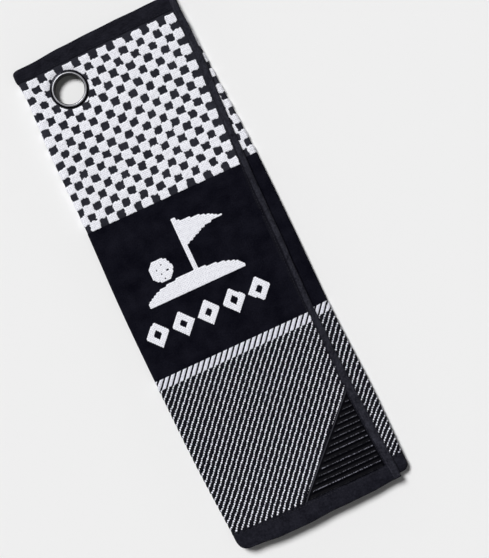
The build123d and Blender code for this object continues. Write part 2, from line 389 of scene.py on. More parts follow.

# %% [markdown]
# ## Relief
# White loops stand tallest, black loops lie lower, and sheared velour is even and flat. Between
# the loops the surface dips, which is what catches the light as terry. Round the eyelet the cloth
# is pressed flat, and the loops next to the flange are black, a painted shade ring.

# %% The relief of the checks and of the velour
FACE, REVERSE = 0.9, -1.05
# The last of these is how far from the eyelet's axis the loops are black, a painted shade ring.
PRESSED_WITHIN, FULL_PILE_FROM, SHADE_RING_TO = 17.6, 22.5, 18.7


def touching(loops, u, v):
    """The average of the loops that a point touches, from four places a quarter of a loop away."""
    near = [(a, b) for a in (-0.25, 0.25) for b in (-0.25, 0.25)]
    return sum(loops(*loop_index(u + a * LOOP_U, v + b * LOOP_V)) for a, b in near) / len(near)


def crown(u, v):
    """1 on the middle of a loop and 0 between loops."""
    across = np.sin(math.pi * (u - FIRST_U) / LOOP_U) ** 2
    return across * np.sin(math.pi * (v - FIRST_V) / LOOP_V) ** 2


def loop_roll(kind, u, v):
    return touching(lambda i, j: dice(kind, i, j), u, v)


def from_eyelet(u, v):
    place = placed(u, v, 0)[..., :2] / MM
    return np.hypot(*np.moveaxis(place - EYELET_AT[:2], -1, 0))


def pressed(u, v):
    """How far the cloth is pressed down round the eyelet, from 0 to 1."""
    return 1 - smooth(from_eyelet(u, v), PRESSED_WITHIN, FULL_PILE_FROM)


def lifted(u, v, height, back):
    """Face and reverse lifts, with the cloth pressed flat round the eyelet."""
    press = pressed(u, v)
    return FACE + height * (1 - press) - 0.5 * press, REVERSE - 0.2 * back


def check_relief(u, v):
    pattern = check_distance(u, v) + 1.5 * (loop_roll(0, u, v) - 0.5)
    # Painted shade: loops close round the eyelet are turned black, for the dark ring of shade round its
    # flange.
    pattern = np.minimum(pattern, from_eyelet(u, v) - SHADE_RING_TO)
    white, round_it, roll = smooth(pattern, -0.7, 0.6), crown(u, v), loop_roll(1, u, v)
    tall = 0.12 + 0.6 * white + (0.15 + 0.35 * white) * (roll - 0.5)
    height = tall + (0.12 + 0.2 * white) * (round_it - 0.6)
    return *lifted(u, v, height, roll), pattern, round_it


def velour_relief(u, v):
    white, round_it, roll = touching(motif_loop, u, v), crown(u, v), loop_roll(1, u, v)
    height = 0.4 + 0.3 * white + (0.06 + 0.2 * white) * (roll - 0.5)
    height = height + (0.02 + 0.12 * white) * round_it
    pattern = (white - 0.48) * 1.2
    return *lifted(u, v, height, roll), pattern, round_it


print("lift of a loop, mm:", check_relief(*np.array([[58.0], [50.0]]))[0].round(2))

# %% [markdown]
# ## Stripes, bars and the ribbed corner
# The lower end is woven in diagonal black cords with a thin beaded white thread between them. A
# row of slanted white bars starts it, and one corner has plain black ribs. These are finer than
# a loop, so they are formulas. The same formulas shape the mesh, on arrays, and colour it, on
# shader sockets: the few functions below work on both.

# %% Arithmetic on arrays or on shader sockets
def sine(x):
    return x.maths("SINE") if isinstance(x, Wire) else np.sin(x)


def fraction(x):
    return x.maths("FRACT") if isinstance(x, Wire) else x - np.floor(x)


def size_of(x):
    return x.maths("ABSOLUTE") if isinstance(x, Wire) else np.abs(x)


def rise(x, low, high):
    """A soft step from 0 to 1, as smooth() is for arrays."""
    return x.ramped(low, high) if isinstance(x, Wire) else smooth(x, low, high)


# %% The stripes and the ribbed corner
STRIPE_U, STRIPE_V = 5.95, 6.5
STRIPE_LENGTH = math.hypot(STRIPE_U, STRIPE_V)
STRIPE_GAP = STRIPE_U * STRIPE_V / STRIPE_LENGTH
BEAD = 2.15
BAR_LEAN, BAR_HALF = 0.84, 1.92
CORNER_SLOPE, CORNER_V = 0.962, 398.0
RIB, RIB_V, RIBS_FROM_U = 5.27, 479.2, 10.6


def stripe_lines(u, v):
    """How far from the nearest white thread, in mm, and how far into a bead, from 0 to 1."""
    steady = v / STRIPE_V - u / STRIPE_U
    line = steady - fraction(steady)
    wander = 0.035 * sine(v * 0.62 + line * 2.4) + 0.035 * sine(u * 1.31 + line * 4.1)
    wander = wander + 0.03 * sine(v * 2.3 + line * 1.7)
    off = size_of(fraction(steady + wander) - 0.5) * STRIPE_GAP
    along = (u * STRIPE_U + v * STRIPE_V) / STRIPE_LENGTH
    bead = 0.5 + 0.5 * sine(along * (2 * math.pi / BEAD) + line * 2.4)
    return off, bead


def bar_place(u, v):
    """How far sideways from the middle of the nearest white bar, in mm."""
    return size_of(fraction((v * BAR_LEAN - u) / STRIPE_U) - 0.5) * STRIPE_U


def ribbed_corner(u, v):
    """How far inside the corner, in mm, its ribs' height, from 0 to 1, and how bright the painted
    highlight on each rib's crest is.
    """
    inside = (v - u * CORNER_SLOPE - CORNER_V) / math.hypot(1, CORNER_SLOPE)
    count = (v - RIB_V) / RIB + 0.5
    wave = sine((count - 0.5) * math.pi)
    rib = count - fraction(count)
    # Painted highlight: each rib gets its own strength of crest highlight.
    own = 0.45 + 0.28 * sine(rib * 2.65 + 2.19) + 0.22 * sine(rib * 2.3 + 2.24)
    room = rise(inside, 2.4, 3.4) * rise(u, RIBS_FROM_U - 0.8, RIBS_FROM_U)
    return inside, (1 - wave * wave) * room, own


def stripe_relief(u, v):
    """Face lift, reverse lift, pattern and tuft of the striped end."""
    off, bead = stripe_lines(u, v)
    cord = rise(off, 0.5, STRIPE_GAP / 2)
    bars = 1 - smooth(v, BARS_END - 0.4, BARS_END + 0.4)
    inside, ribs, _ = ribbed_corner(u, v)
    in_corner = smooth(inside, -0.3, 0.3)
    edging = in_corner * (1 - smooth(inside, 1.0, 1.7))
    wobble = 0.16 * (loop_roll(1, u, v) - 0.5)
    striped = 0.1 + 0.6 * cord + 0.34 * (1 - cord) * bead
    barred = 0.15 + 0.55 * (1 - smooth(bar_place(u, v), BAR_HALF - 0.6, BAR_HALF + 0.3))
    ribbed = 0.1 + 0.62 * np.maximum(ribs, edging * 0.45)
    height = striped * (1 - bars) + barred * bars
    height = height * (1 - in_corner) + ribbed * in_corner + wobble
    return *lifted(u, v, height, cord), np.zeros_like(u), cord


print("the white threads are", round(STRIPE_GAP, 2), "mm apart")

# %% [markdown]
# ## Paint
# A material's maths is written as ordinary arithmetic. `Wire` holds one output socket, and adding
# or multiplying wires adds the Math node that does it. Everything else, such as a noise or a
# soft step, comes from `Wire.node`.

# %% Wires
class Wire:
    """An output socket of a material's node tree that takes part in arithmetic."""

    def __init__(self, tree, socket=None):
        self.tree, self.socket = tree, socket

    def node(self, kind, settings=None, sockets=None, output=0):
        """Adds a node: first its settings, then the values or wires of its sockets."""
        made = self.tree.nodes.new(kind)
        for name, value in (settings or {}).items():
            setattr(made, name, value)
        for name, value in (sockets or {}).items():
            if isinstance(value, Wire):
                self.tree.links.new(value.socket, made.inputs[name])
            else:
                made.inputs[name].default_value = value
        return Wire(self.tree, made.outputs[output])

    def maths(self, operation, *others):
        values = dict(enumerate((self, *others)))
        return self.node("ShaderNodeMath", {"operation": operation}, values)

    def reflected(self, operation, other):
        return self.node("ShaderNodeMath", {"operation": operation}, {0: other, 1: self})

    def __add__(self, other):
        return self.maths("ADD", other)

    def __sub__(self, other):
        return self.maths("SUBTRACT", other)

    def __rsub__(self, other):
        return self.reflected("SUBTRACT", other)

    def __mul__(self, other):
        return self.maths("MULTIPLY", other)

    def __truediv__(self, other):
        return self.maths("DIVIDE", other)

    def __rtruediv__(self, other):
        return self.reflected("DIVIDE", other)

    __radd__, __rmul__ = __add__, __mul__

    def ramped(self, low, high):
        ends = {"Value": self, "From Min": low, "From Max": high}
        return self.node("ShaderNodeMapRange", {"interpolation_type": "SMOOTHSTEP"}, ends)

    def blended(self, first, second):
        """Colour first where this wire is 0, second where it is 1."""
        colours = {0: self, 6: first, 7: second}
        return self.node("ShaderNodeMix", {"data_type": "RGBA"}, colours, output=2)

    def noise(self, scale, detail=2.0, rough=0.5):
        settings = {"Vector": self, "Scale": scale, "Detail": detail, "Roughness": rough}
        return self.node("ShaderNodeTexNoise", None, settings)


# %% Starting a material
def attribute(start, name, output="Fac"):
    return start.node("ShaderNodeAttribute", {"attribute_name": name}, None, output)


def flat_place(start):
    """The flat place as a vector, and its u, v and side: 0 on the face, 1 on the reverse."""
    place = attribute(start, "cloth_mm", "Vector")
    split = [place.node("ShaderNodeSeparateXYZ", None, {0: place}, k) for k in range(3)]
    return place, *split


def finish_of(name, surface_values):
    """A material whose Principled shader has these plain values, and a wire to start from."""
    material = bpy.data.materials.new(name)
    material.use_nodes = True
    shader = material.node_tree.nodes["Principled BSDF"]
    for socket, value in surface_values.items():
        shader.inputs[socket].default_value = value
    return material, shader, Wire(material.node_tree)


def feed(shader, colour, roughness, height, depth, strength):
    """Joins a colour, a bump and, unless it is None, a roughness to a shader."""
    tree = shader.id_data
    tree.links.new(colour.socket, shader.inputs["Base Color"])
    if roughness is not None:
        tree.links.new(roughness.socket, shader.inputs["Roughness"])
    sockets = {"Height": height, "Distance": depth, "Strength": strength}
    bump = height.node("ShaderNodeBump", None, sockets)
    tree.links.new(bump.socket, shader.inputs["Normal"])


BLACK_LOOP, BLACK_LOOP_LIT = (0.0135, 0.0138, 0.0195, 1), (0.036, 0.0365, 0.047, 1)
BLACK_VELOUR, BLACK_VELOUR_LIT = (0.0012, 0.0012, 0.0036, 1), (0.0098, 0.0098, 0.0160, 1)
WHITE_LOOP = (0.95, 0.955, 1.0, 1)
# Painted shade for white in the dips between loops.
WHITE_PAINTED_SHADE = (0.48, 0.48, 0.55, 1)
# Painted shade for the dark specks where white loops part.
GAP_PAINTED_SHADE = (0.20, 0.20, 0.23, 1)
print("paint box ready")

# %% [markdown]
# ## The two pile materials
# Cotton loops have no gloss, so the shader is rough and hardly reflects. The mesh carries how
# white a point is. The material sharpens that into an edge and frays it with fine noise, since
# loops never end on a line. White between the loops is painted grey as shade, with darker specks
# of painted shade where loops part, and yarns show as a fine bump.

# %% Loops and velour
def pile_material(name, black, black_light, fray):
    values = {"Roughness": 0.92, "Specular IOR Level": 0.03}
    material, shader, start = finish_of(name, values)
    place = flat_place(start)[0]
    coarse, fine = place.noise(0.75, 2.0, 0.6), place.noise(2.2, 2.0, 0.6)
    ragged = (coarse - 0.5) * fray + (fine - 0.5) * fray
    white = (attribute(start, "pattern") + ragged).ramped(-0.12, 0.12)
    tuft = attribute(start, "tuft")
    # Painted shade: white turns grey from the top of a loop down into the dips, broken up by noise, and
    # dark specks of painted shade sit where loops part.
    lit = (tuft * 0.5 + place.noise(0.8, 3.0, 0.7)).ramped(0.25, 0.8)
    gap_shade_specks = place.noise(0.95, 1.0, 0.5).ramped(0.66, 0.74) * (1 - tuft).ramped(0.2, 0.9)
    white_side = gap_shade_specks.blended(lit.blended(WHITE_PAINTED_SHADE, WHITE_LOOP), GAP_PAINTED_SHADE)
    cloudy = place.noise(0.05, 3.0, 0.6) * 0.5 + place.noise(0.8, 3.0, 0.8) * 0.6
    black_side = cloudy.ramped(0.35, 0.8).blended(black, black_light)
    yarn = place.noise(2.2, 3.0, 0.7)
    feed(shader, white.blended(black_side, white_side), None, yarn, 0.0003, 0.6)
    return material


terry = pile_material("two_colour_terry", BLACK_LOOP, BLACK_LOOP_LIT, 1.1)
velour = pile_material("sheared_velour", BLACK_VELOUR, BLACK_VELOUR_LIT, 0.45)
print("made", terry.name, velour.name)

# %% [markdown]
# ## The striped material
# The thread line is white and beaded, with painted shade where it lies lower between beads. The
# cord beside it is a smoother black yarn with a painted highlight along its crest, and the ribs in
# the corner carry a thin painted highlight on each crest. The bars are white too, streaked along
# their lean. The reverse has the two colours swapped.

# %% Stripes
# The cord's crest colour is a painted highlight along its top.
CORD_VALLEY, CORD_PAINTED_HIGHLIGHT = (0.0012, 0.0012, 0.0024, 1), (0.0115, 0.0115, 0.0175, 1)
# Painted highlight for the ribs' crests and the corner's border cord.
RIB_PAINTED_HIGHLIGHT = (0.25, 0.25, 0.30, 1)
# The thread's grey is partly its own uneven tone and partly painted shade where it dips between beads.
THREAD_GREY_AND_SHADE, THREAD_WHITE = (0.19, 0.19, 0.255, 1), (0.92, 0.925, 1.0, 1)


def stripe_material():
    values = {"Roughness": 0.6, "Specular IOR Level": 0.03}
    material, shader, start = finish_of("striped_weave", values)
    place, u, v, side = flat_place(start)
    ragged = (place.noise(1.1, 2.0, 0.6) - 0.5) * 1.2
    off, bead = stripe_lines(u, v)
    line = 1 - (off + ragged - bead * 0.52).ramped(0.1, 0.36)
    bar = 1 - (bar_place(u, v) + ragged * 0.6).ramped(BAR_HALF - 0.15, BAR_HALF + 0.15)
    in_bars = 1 - (v + ragged).ramped(BARS_END - 0.3, BARS_END + 0.3)
    inside, ribs, own = ribbed_corner(u, v)
    outside = 1 - (inside + ragged * 0.3).ramped(-1.0, -0.6)
    outside = outside * (1 - v.ramped(STRIPES_END - 0.2, STRIPES_END + 0.3))
    white = (line * (1 - in_bars) + bar * in_bars) * outside
    # Painted highlight: a thin pale line on each rib's crest, broken into dashes, and a fainter one
    # along the corner's border cord.
    dashes = place.noise(0.75, 2.0, 0.6).ramped(0.46, 0.6)
    rib_highlight = ribs.ramped(0.88, 0.99) * (0.1 + own * 0.9) * (0.08 + dashes * 0.92)
    edging = inside.ramped(-0.4, 0.1) * (1 - inside.ramped(0.8, 1.3)) * 0.12
    swapped = white + side * (1 - 2 * white)
    # Painted highlight: the cord's black grows paler towards its middle, streaked and clouded.
    cord = off.ramped(1.2, 2.1) * (1 - inside.ramped(-0.5, 0.5))
    grain = sine((u * 2.6 + v) * (2 * math.pi / 2.4)) * 0.5 + 0.5
    painted_sheen = cord * (0.1 + grain * 0.45 + place.noise(1.0, 2.0, 0.6) * 0.6)
    black = painted_sheen.blended(CORD_VALLEY, CORD_PAINTED_HIGHLIGHT)
    black_with_highlights = (rib_highlight + edging).blended(black, RIB_PAINTED_HIGHLIGHT)
    # The thread greys at random breaks, its own tone, and between beads, painted shade where it lies
    # lower.
    breaks_and_bead_shade = place.noise(0.4, 3.0, 0.8).ramped(0.34, 0.5) * (0.42 + bead * 0.58)
    streak = sine((v * BAR_LEAN - u) * (2 * math.pi / 1.05)) * 0.3 + place.noise(0.9, 3.0, 0.8)
    pale = breaks_and_bead_shade * (1 - in_bars) + in_bars * streak.ramped(0.1, 0.62)
    pale = pale.blended(THREAD_GREY_AND_SHADE, THREAD_WHITE)
    rough = 0.5 + swapped * 0.4
    feed(shader, swapped.blended(black_with_highlights, pale), rough, place.noise(2.0, 3.0, 0.7), 0.0003, 0.5)
    return material


stripes = stripe_material()
print("made", stripes.name)

# %% [markdown]
# ## Cutting the cloth into pieces
# One mesh of the whole cloth at two points a loop would be too heavy to keep, so the flat cloth
# is cut along its three bands, and into a front part, a back part and an inner part. The front
# part runs round the left fold and the inner part round the right fold, so no cut lies on an
# edge that shows. The back lies on the table, and one point a loop is enough there.

# %% The grids
UNDER_HEM = 2
FRONT_LOOPS, BACK_LOOPS, STRIP_LOOPS, INNER_LOOPS = 115, 106, 30, 81
FRONT_TO = FIRST_U + FRONT_LOOPS * LOOP_U
BACK_TO = FIRST_U + (FRONT_LOOPS + BACK_LOOPS) * LOOP_U
STRIP_TO = FIRST_U + (FRONT_LOOPS + BACK_LOOPS + STRIP_LOOPS) * LOOP_U
INNER_TO = FIRST_U + (FRONT_LOOPS + BACK_LOOPS + STRIP_LOOPS + INNER_LOOPS) * LOOP_U


def steps(low, high, step):
    return low + np.arange(round((high - low) / step) + 1) * step


fine_u, fine_v = LOOP_U / 2, LOOP_V / 2
front_columns = steps(FIRST_U - LOOP_U, FRONT_TO, fine_u)
back_columns = steps(FRONT_TO, BACK_TO, LOOP_U)
strip_columns = steps(BACK_TO, STRIP_TO, fine_u)
inner_columns = np.append(strip_columns, steps(STRIP_TO, INNER_TO, LOOP_U)[1:])
bands = {
    "checks": (FIRST_V - UNDER_HEM * LOOP_V, CHECKS_END, check_relief, terry),
    "velour": (CHECKS_END, VELOUR_END, velour_relief, velour),
    "stripes": (VELOUR_END, STRIPES_END + 2, stripe_relief, stripes),
}
panels = {
    "front": (front_columns, 1),
    "back": (back_columns, 2),
    "inner": (inner_columns, 1),
}
print({name: len(columns) for name, (columns, _) in panels.items()}, "columns")

# %% The nine pieces of cloth
def cloth_piece(panel, band):
    columns, coarser = panels[panel]
    start, end, relief, material = bands[band]
    count = round((end - start) / (fine_v * coarser))
    rows = np.linspace(start, end, count + 1)
    piece = thick_sheet(f"{panel}_{band}_cloth", columns, rows, relief)
    piece.data.materials.append(material)
    size = (np.ptp(along_cloth(columns[[0, -1]])), end - start)
    print(piece.name, "faces:", len(piece.data.polygons), "flat mm:", np.round(size))
    return piece, size


cloth = {(p, b): cloth_piece(p, b) for p in panels for b in bands}

# %% [markdown]
# ## Hems
# Each end of the cloth is woven plain and turned under twice, and the two side edges are rolled
# and sewn. A hem is one closed band. Its outline, seen from its end, is a short list of points:
# distance in from the outer edge, and lift. The band follows the flat cloth through the folds,
# wanders a little at its outer edge, and puckers along the stitches.

# %% Hem bands
TOP_HEM, BOTTOM_HEM, SIDE_HEM, ROLL = 16.4, 15.2, 8.6, 5.2
END_OUTLINE = [(1.0, 0.4), (0.99, 1.2), (0.95, 1.5), (0.88, 1.42), (0.8, 1.6), (0.6, 1.75)]
END_OUTLINE += [(0.35, 1.85), (0.2, 1.8), (0.12, 1.6), (0.05, 1.5), (0.01, 1.0), (0.0, 0.2)]
END_OUTLINE += [(0.02, -0.7), (0.08, -1.1), (0.3, -1.3), (0.6, -1.35), (0.92, -1.3), (1.0, -0.8)]
SIDE_OUTLINE = [(1.0, 0.4), (0.98, 1.25), (0.93, 1.42), (0.8, 1.38), (0.68, 1.42), (0.62, 1.4)]
SIDE_OUTLINE += [(0.585, 1.75), (0.5, 2.05), (0.3, 2.15), (0.14, 1.95), (0.04, 1.4), (0.0, 0.5)]
SIDE_OUTLINE += [(0.0, -0.2), (0.05, -0.9), (0.2, -1.25), (0.5, -1.35), (0.9, -1.3), (1.0, -0.7)]
side_width = through((0, 7.4), (150, 7.0), (200, 8.8), (310, 8.8), (335, 7.1), (365, 7.3),
                     (400, 9.2), (450, 9.7), (500, 8.8))
roll_width = through((0, 6.6), (150, 6.0), (195, 5.3), (300, 5.3), (335, 6.0), (365, 6.2),
                     (400, 7.6), (450, 8.2), (500, 7.4))


def rounded_outline(points, width):
    """The outline as a smooth closed curve through twice as many points."""
    ring = np.array(points) * (width, 1)
    before, after = np.roll(ring, 1, 0), np.roll(ring, -1, 0)
    halfway = (9 * (ring + after) - before - np.roll(ring, -2, 0)) / 16
    return np.stack([ring, halfway], 1).reshape(-1, 2)


def tube_faces(rings):
    """Faces of closed tubes, where rings[..., station, place around] are point numbers."""
    onward = np.roll(rings, -1, -1)
    walls = [rings[..., :-1, :], onward[..., :-1, :], onward[..., 1:, :], rings[..., 1:, :]]
    k = np.arange(rings.shape[-1] // 2 - 1)
    ends = np.stack([rings[..., k], rings[..., k + 1], rings[..., -2 - k], rings[..., -1 - k]], -1)
    parts = np.stack(walls, -1), ends[..., 0, :, ::-1], ends[..., -1, :, :]
    return np.concatenate([part.reshape(-1, 4) for part in parts])


def face_outwards(mesh):
    """Turns every face over if the mesh's volume comes out negative."""
    points = np.array([p.co for p in mesh.vertices], float)
    mesh.calc_loop_triangles()
    a, b, c = (points[[t.vertices[k] for t in mesh.loop_triangles]] for k in range(3))
    if (a * np.cross(b, c)).sum() < 0:
        mesh.flip_normals()


def band(name, outline, along, place, wander, material):
    """A closed band: an outline at each step along, capped at both ends. place gives u and v."""
    step = along[:, None]
    inward, lift = outline[:, 0][None, :], outline[:, 1][None, :]
    share = 1 - inward / inward.max()
    rolled = 1 - smooth(inward, ROLL - 0.2, ROLL + 0.3)
    rolled = np.broadcast_to(rolled, (len(along), len(outline)))
    inward = inward + wander(step) * share**2
    swell = 1 + 0.06 * np.sin(step / 9.7 + 1) + 0.05 * np.sin(step / 4.1)
    swell = swell + 0.03 * np.sin(step / 1.7)
    lift = np.where(lift > 0, lift * swell, lift)
    u, v = (np.broadcast_to(c, lift.shape) for c in place(step, inward))
    points = placed(u, v, lift).reshape(-1, 3)
    flat = np.stack([u, v, inward], -1).reshape(-1, 3)
    faces = tube_faces(np.arange(lift.size).reshape(lift.shape))
    piece = mesh_object(name, points, faces, flat, rolled=rolled)
    face_outwards(piece.data)
    piece.data.materials.append(material)
    return piece


print("hem outlines have", len(END_OUTLINE), "and", len(SIDE_OUTLINE), "points")

# %% [markdown]
# ## The hem's cloth and the thread
# The hem is a tight plain weave of black yarn, smoother and a little greyer than the pile, with
# its diagonal grain only just showing. Lint greys it in soft patches.

# %% Woven hem and thread
def hem_material(name, dark, light, grain, rolled_light=None):
    values = {"Roughness": 0.85, "Specular IOR Level": 0.08}
    material, shader, start = finish_of(name, values)
    place, u, v, _ = flat_place(start)
    twill = sine((u + v) * (2 * math.pi / grain)) * 0.5 + 0.5
    cross = sine((u - v) * (2 * math.pi / (grain * 0.8))) * 0.5 + 0.5
    lint = place.noise(0.1, 4.0, 0.65).ramped(0.35, 0.7)
    speck = place.noise(0.45, 3.0, 0.75).ramped(0.35, 0.7)
    if rolled_light:
        light = attribute(start, "rolled").blended(light, rolled_light)
    colour = (lint * 0.35 + speck * 0.5 + twill * 0.15).blended(dark, light)
    height = twill * 0.5 + cross * 0.3 + speck * 1.2
    feed(shader, colour, 0.75 + speck * 0.2, height, 0.0003, 0.6)
    return material


HEM_DARK, HEM_LIGHT = (0.0020, 0.0020, 0.0050, 1), (0.0205, 0.0207, 0.0300, 1)
FLAT_LIGHT, ROLL_LIGHT = (0.0105, 0.0105, 0.0165, 1), (0.041, 0.0412, 0.055, 1)
THREAD_DARK, THREAD_LIGHT = (0.012, 0.012, 0.017, 1), (0.03, 0.03, 0.038, 1)
hem_cloth = hem_material("plain_woven_hem", HEM_DARK, HEM_LIGHT, 1.1)
roll_cloth = hem_material("rolled_side_hem", HEM_DARK, FLAT_LIGHT, 0.9, ROLL_LIGHT)
sewing_thread = hem_material("sewing_thread", THREAD_DARK, THREAD_LIGHT, 0.5)
print("made", hem_cloth.name, roll_cloth.name, sewing_thread.name)

# %% Top and bottom hems, one length for each panel
HEM_STEP, END_HEMS_FROM_U = 1.5, 5.6
end_widths = {"top": TOP_HEM, "bottom": BOTTOM_HEM}
spans = {
    "front": (END_HEMS_FROM_U, FRONT_TO),
    "back": (FRONT_TO, BACK_TO),
    "inner": (BACK_TO, INNER_TO),
}


def end_place(end):
    """Gives u and v from a step along and a distance in from the outer edge."""
    return lambda step, inward: (step, inward if end == "top" else LENGTH - inward)


def end_wander(u):
    return 0.25 * np.sin(u / 19 + 1) + 0.12 * np.sin(u / 5.3) + 0.2


hems = {}
for panel, (low, high) in spans.items():
    along = np.linspace(low, high, round((high - low) / HEM_STEP) + 1)
    for end, width in end_widths.items():
        name, outline = f"{panel}_{end}_hem", rounded_outline(END_OUTLINE, width)
        hems[panel, end] = band(name, outline, along, end_place(end), end_wander, hem_cloth)
print(len(hems), "end hems")

# %% [markdown]
# ## The two side hems
# The front panel's free edge shows its whole length: a flat sewn part against the pile, then a
# fat roll at the very edge. It runs over both end hems. The inner panel ends in the same hem,
# which shows only when the flap is open.

# %% Side hems
INNER_EDGE_U = 506.1
SIDE_HEM_END, SIDE_HEM_STATIONS = 0.6, 420
side_outline = rounded_outline(SIDE_OUTLINE, SIDE_HEM)


def front_edge_part(v, inward):
    """The roll and the flat part beside it are wider in some places than in others."""
    stretch = (side_width(v) - roll_width(v)) / (SIDE_HEM - ROLL)
    in_flat = roll_width(v) + (inward - ROLL) * stretch
    return np.where(inward < ROLL, inward * roll_width(v) / ROLL, in_flat)


def inner_edge_part(v, inward):
    return INNER_EDGE_U - inward


side_parts = {"front": front_edge_part, "inner": inner_edge_part}


def side_place(panel):
    return lambda v, inward: (side_parts[panel](v, inward), v)


def side_wander(v):
    return 0.2 * np.sin(v / 23 + 2) + 0.12 * np.sin(v / 7.1) + 0.15


down = np.linspace(SIDE_HEM_END, LENGTH - SIDE_HEM_END, SIDE_HEM_STATIONS)
for panel in side_parts:
    name, place = f"{panel}_side_hem_roll", side_place(panel)
    hems[panel, "side"] = band(name, side_outline, down, place, side_wander, roll_cloth)
print("hems in all:", len(hems))

# %% [markdown]
# ## Stitches
# A lockstitch is a row of short stitches that dip into the cloth at both ends. Each one here is a
# small closed bead of thread, thickest in its middle, laid along the flat cloth so that it
# follows the hem round the folds.

# %% Rows of stitches
STITCH, STITCH_PITCH, THREAD, STITCH_DIP = 2.1, 2.9, 0.3, 0.12
RINGS, RING_POINTS = 7, 8


def stitch_row(name, along_low, along_high, place_of, lift):
    """A row of stitches. place_of gives u and v from a distance along and a distance aside."""
    count = int((along_high - along_low) / STITCH_PITCH)
    starts = along_low + np.arange(count) * STITCH_PITCH
    ends = np.linspace(-1, 1, RINGS)[None, :, None]
    thick = THREAD * np.sqrt(np.clip(1.02 - ends**2, 0, 1))
    turn = np.linspace(0, 2 * math.pi, RING_POINTS, endpoint=False)
    along = starts[:, None, None] + (ends + 1) * STITCH / 2
    aside = thick * np.cos(turn)
    up = lift + thick * np.sin(turn) - STITCH_DIP * ends**2
    along, aside, up = np.broadcast_arrays(along, aside, up)
    u, v = place_of(along, aside)
    points = placed(u, v, up).reshape(-1, 3)
    faces = tube_faces(np.arange(len(points)).reshape(count, RINGS, RING_POINTS))
    flat = np.stack([u, v, np.zeros_like(u)], -1).reshape(-1, 3)
    piece = mesh_object(name, points, faces, flat)
    face_outwards(piece.data)
    piece.data.materials.append(sewing_thread)
    return piece


rows_of_thread = {}
TOP_ROW, BOTTOM_ROW = TOP_HEM * 0.88, LENGTH - BOTTOM_HEM * 0.88
SIDE_ROW, END_ROW_LIFT, SIDE_ROW_LIFT = SIDE_HEM * 0.8, 1.5, 1.42
ROW_INSET, ROW_CLEAR = 3, 0.4


def end_row(v_row):
    return lambda along, aside: (along, v_row + aside)


def side_row(panel):
    return lambda along, aside: (side_parts[panel](along, SIDE_ROW) + aside, along)


for panel, (low, high) in spans.items():
    low = low + ROW_INSET if panel == "front" else low
    for end, v_row in (("top", TOP_ROW), ("bottom", BOTTOM_ROW)):
        name, place = f"{panel}_{end}_stitches", end_row(v_row)
        row = stitch_row(name, low + ROW_CLEAR, high - ROW_CLEAR, place, END_ROW_LIFT)
        rows_of_thread[panel, end] = row
for panel in side_parts:
    name, place = f"{panel}_side_stitches", side_row(panel)
    row = stitch_row(name, ROW_INSET, LENGTH - ROW_INSET, place, SIDE_ROW_LIFT)
    rows_of_thread[panel, "side"] = row
print(len(rows_of_thread), "rows of stitches")

# %% [markdown]
# ## The eyelet
# Two turned rings of black nickel plate. The front one is a low flange with a fat rounded lip,
# and its barrel goes down through the cloth and curls over the washer at the back. Both are an
# outline turned round the eyelet's axis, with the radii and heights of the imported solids.

# %% Turned rings
FLANGE_RADIUS, BORE_RADIUS = (eyelet_high[0] - eyelet_low[0]) / 2, 14.0
LIP_TOP = eyelet_high[2]
# Painted highlight: the top of the lip, between these heights, is painted paler.
HIGHLIGHT_FROM, HIGHLIGHT_FULLY = LIP_TOP - 0.9, LIP_TOP - 0.35


def turned_ring(name, outline, turns=160):
    """A closed outline of (radius, height), in mm, turned round the eyelet's axis."""
    outline = np.array(outline)
    radius, height = outline.T
    # Painted highlight on the top of the lip.
    rubbed = smooth(height, HIGHLIGHT_FROM, HIGHLIGHT_FULLY) * smooth(radius, 14.6, 15.2)
    rubbed = np.broadcast_to(rubbed, (turns, len(outline)))
    angle = np.linspace(0, 2 * math.pi, turns, endpoint=False)[:, None]
    x = EYELET_AT[0] + radius * np.cos(angle)
    y = EYELET_AT[1] + radius * np.sin(angle)
    z = np.broadcast_to(height, x.shape)
    index = np.arange(x.size).reshape(x.shape)
    onward, around = np.roll(index, -1, 1), np.roll(index, -1, 0)
    faces = np.stack([index, onward, np.roll(onward, -1, 0), around], -1).reshape(-1, 4)
    piece = mesh_object(name, np.stack([x, y, z], -1).reshape(-1, 3) * MM, faces, rubbed=rubbed)
    face_outwards(piece.data)
    return piece


ring_outline = [
    (FLANGE_RADIUS, 7.85), (FLANGE_RADIUS, 8.35), (FLANGE_RADIUS - 0.2, 8.7), (17.1, 8.86),
    (16.7, 8.84), (16.5, 8.86), (16.42, 9.05), (16.3, 9.4), (16.05, 9.7), (15.7, LIP_TOP - 0.1),
    (15.3, LIP_TOP), (15.0, LIP_TOP - 0.06), (14.7, LIP_TOP - 0.18), (14.4, 9.55), (14.2, 9.3),
    (14.05, 8.8), (BORE_RADIUS, 8.0), (BORE_RADIUS, 5.0), (BORE_RADIUS, 2.0), (14.05, 1.1), (14.3, 0.5),
    (14.7, 0.18), (15.2, 0.1), (15.8, 0.12), (16.0, 0.4), (15.8, 0.66), (15.2, 0.72),
    (14.8, 0.95), (14.62, 1.5), (14.6, 2.5), (14.6, 5.0), (14.6, 7.8), (14.8, 8.6), (15.2, 9.0),
    (15.7, 8.7), (16.1, 8.3), (16.9, 8.2), (17.2, 7.85),
]
washer_low, washer_high = in_mm(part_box("eyelet_washer"))
washer_out = (washer_high[0] - washer_low[0]) / 2
low, high = washer_low[2], washer_high[2]
washer_outline = [
    (15.4, low + 0.12), (15.5, low), (washer_out - 0.15, low), (washer_out, low + 0.15),
    (washer_out, high - 0.1), (washer_out - 0.1, high), (15.5, high), (15.4, high - 0.1),
]
eyelet_ring = turned_ring("eyelet_ring", ring_outline)
washer_ring = turned_ring("washer_ring", washer_outline)
print("eyelet faces:", len(eyelet_ring.data.polygons) + len(washer_ring.data.polygons))

